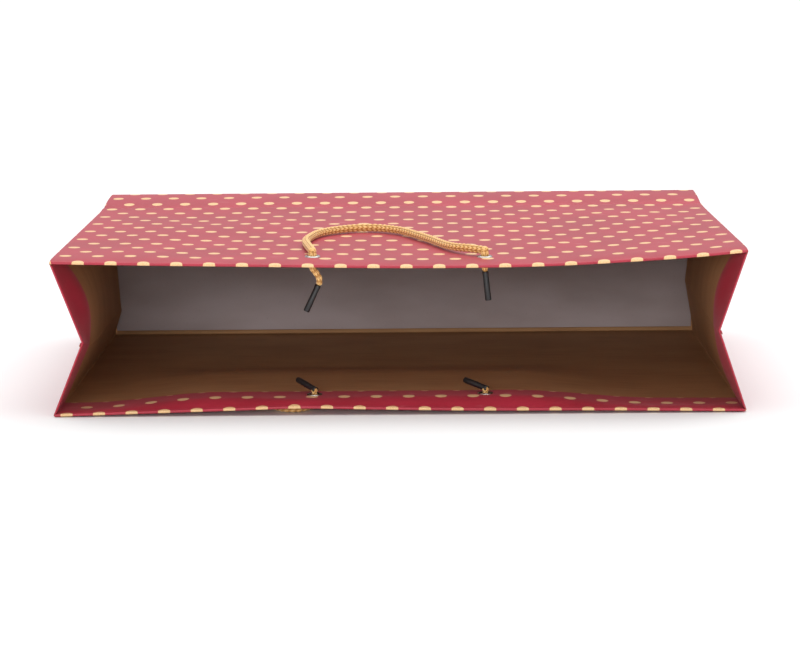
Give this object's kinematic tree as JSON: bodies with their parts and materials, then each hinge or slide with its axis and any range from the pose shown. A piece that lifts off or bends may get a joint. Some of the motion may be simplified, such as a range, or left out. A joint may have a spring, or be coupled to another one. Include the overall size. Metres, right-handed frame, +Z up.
{
  "type": "gift bag",
  "caption": "Flat-lying paper gift bag with side gussets, turned-in mouth hem, metal eyelets, knitted cord handles and a stiff card in its base.",
  "frame": {"origin": "on the surface that the bag lies on, under the middle of the bag", "axes": "+X across the bag's width, +Y from the mouth to the base, +Z up from the back panel to the front panel as the bag lies on its back"},
  "size_m": [0.3994, 0.3024, 0.098],
  "materials": {
    "printed_paper": "coated paper, red outside with gold dots, bare brown kraft inside",
    "hem_paper": "the same printed paper, turned in",
    "hem_board": "plain grey board",
    "base_board": "matt grey duplex board",
    "cord": "gold knitted cord",
    "tip_plastic": "black, satin",
    "eyelet_metal": "nickel plated"
  },
  "bodies": {
    "root": {"back_panel": "printed_paper", "back_hem": "hem_paper", "back_hem_card": "hem_board", "base_flap_back": "printed_paper", "base_flap_front": "printed_paper", "base_side_flap_left": "printed_paper", "base_side_flap_right": "printed_paper", "base_card": "base_board", "back_eyelet_left": "eyelet_metal", "back_eyelet_right": "eyelet_metal", "back_washer_left": "eyelet_metal", "back_washer_right": "eyelet_metal", "back_left_cord_through": "cord", "back_right_cord_through": "cord", "back_cord_bight": "cord"},
    "front_strip": {"front_base_strip": "printed_paper"},
    "front_panel": {"front_panel": "printed_paper", "front_hem": "hem_paper", "front_hem_card": "hem_board", "front_eyelet_left": "eyelet_metal", "front_eyelet_right": "eyelet_metal", "front_washer_left": "eyelet_metal", "front_washer_right": "eyelet_metal", "front_left_cord_through": "cord", "front_right_cord_through": "cord"},
    "left_gusset_back": {"left_gusset_back": "printed_paper", "left_gusset_back_hem": "hem_paper"},
    "left_gusset_front": {"left_gusset_front": "printed_paper", "left_gusset_front_hem": "hem_paper"},
    "left_base_fold": {"left_base_fold": "printed_paper"},
    "right_gusset_back": {"right_gusset_back": "printed_paper", "right_gusset_back_hem": "hem_paper"},
    "right_gusset_front": {"right_gusset_front": "printed_paper", "right_gusset_front_hem": "hem_paper"},
    "right_base_fold": {"right_base_fold": "printed_paper"},
    "front_handle": {"front_handle_cord": "cord"},
    "back_handle": {"back_handle_cord": "cord"},
    "front_left_tip": {"front_left_cord_end": "cord", "front_left_tip": "tip_plastic"},
    "front_right_tip": {"front_right_cord_end": "cord", "front_right_tip": "tip_plastic"},
    "back_left_tip": {"back_left_cord_end": "cord", "back_left_tip": "tip_plastic"},
    "back_right_tip": {"back_right_cord_end": "cord", "back_right_tip": "tip_plastic"}
  },
  "joints": [
    {"name": "front_fold", "type": "hinge", "parent": "root", "child": "front_strip", "pos_m": [0, 0.1488, 0.098], "axis": [1, 0, 0], "range_deg": [-2, 10]},
    {"name": "front_crease", "type": "hinge", "parent": "front_strip", "child": "front_panel", "pos_m": [0, 0.10001, 0.0935], "axis": [1, 0, 0], "range_deg": [-10, 2]},
    {"name": "left_gusset_back_fold", "type": "hinge", "parent": "root", "child": "left_gusset_back", "pos_m": [-0.19975, -0.0012, 0.0012], "axis": [0, 1, 0], "range_deg": [-2.2, 11]},
    {"name": "left_gusset_front_fold", "type": "hinge", "parent": "front_panel", "child": "left_gusset_front", "pos_m": [-0.19975, 0.10004, 0.0923], "axis": [0, -0.9997, -0.0243], "range_deg": [-2.2, 11]},
    {"name": "left_base_corner_fold", "type": "hinge", "parent": "root", "child": "left_base_fold", "pos_m": [-0.19975, 0.1484, 0.04675], "axis": [0, 0, 1], "range_deg": [-2.2, 11]},
    {"name": "right_gusset_back_fold", "type": "hinge", "parent": "root", "child": "right_gusset_back", "pos_m": [0.19975, -0.0012, 0.0012], "axis": [0, -1, 0], "range_deg": [-2.2, 11]},
    {"name": "right_gusset_front_fold", "type": "hinge", "parent": "front_panel", "child": "right_gusset_front", "pos_m": [0.19975, 0.10004, 0.0923], "axis": [0, 0.9997, 0.0243], "range_deg": [-2.2, 11]},
    {"name": "right_base_corner_fold", "type": "hinge", "parent": "root", "child": "right_base_fold", "pos_m": [0.19975, 0.1484, 0.04675], "axis": [0, 0, -1], "range_deg": [-2.2, 11]},
    {"name": "front_handle_swing", "type": "hinge", "parent": "front_panel", "child": "front_handle", "pos_m": [0, -0.12602, 0.09201], "axis": [1, 0, 0], "range_deg": [0, 180]},
    {"name": "back_handle_swing", "type": "hinge", "parent": "root", "child": "back_handle", "pos_m": [0, -0.1262, 0.0025], "axis": [-1, 0, 0], "range_deg": [0, 180]},
    {"name": "front_left_tip_swing", "type": "hinge", "parent": "front_panel", "child": "front_left_tip", "pos_m": [-0.05, -0.1258, 0.08271], "axis": [0, 1, 0], "range_deg": [-54, 55]},
    {"name": "front_right_tip_swing", "type": "hinge", "parent": "front_panel", "child": "front_right_tip", "pos_m": [0.05, -0.1258, 0.08271], "axis": [0, 1, 0], "range_deg": [-59, 71]},
    {"name": "back_left_tip_swing", "type": "hinge", "parent": "root", "child": "back_left_tip", "pos_m": [-0.05, -0.1262, 0.0115], "axis": [0.7328, 0.6805, 0], "range_deg": [0, 140]},
    {"name": "back_right_tip_swing", "type": "hinge", "parent": "root", "child": "back_right_tip", "pos_m": [0.05, -0.1262, 0.0115], "axis": [0.6146, 0.7888, 0], "range_deg": [0, 140]}
  ],
  "couplings": [
    {"joint": "front_crease", "follows": "front_fold", "ratio": -1},
    {"joint": "left_gusset_back_fold", "follows": "front_fold", "ratio": 1.1},
    {"joint": "left_gusset_front_fold", "follows": "front_fold", "ratio": 1.1},
    {"joint": "left_base_corner_fold", "follows": "front_fold", "ratio": 1.1},
    {"joint": "right_gusset_back_fold", "follows": "front_fold", "ratio": 1.1},
    {"joint": "right_gusset_front_fold", "follows": "front_fold", "ratio": 1.1},
    {"joint": "right_base_corner_fold", "follows": "front_fold", "ratio": 1.1}
  ]
}
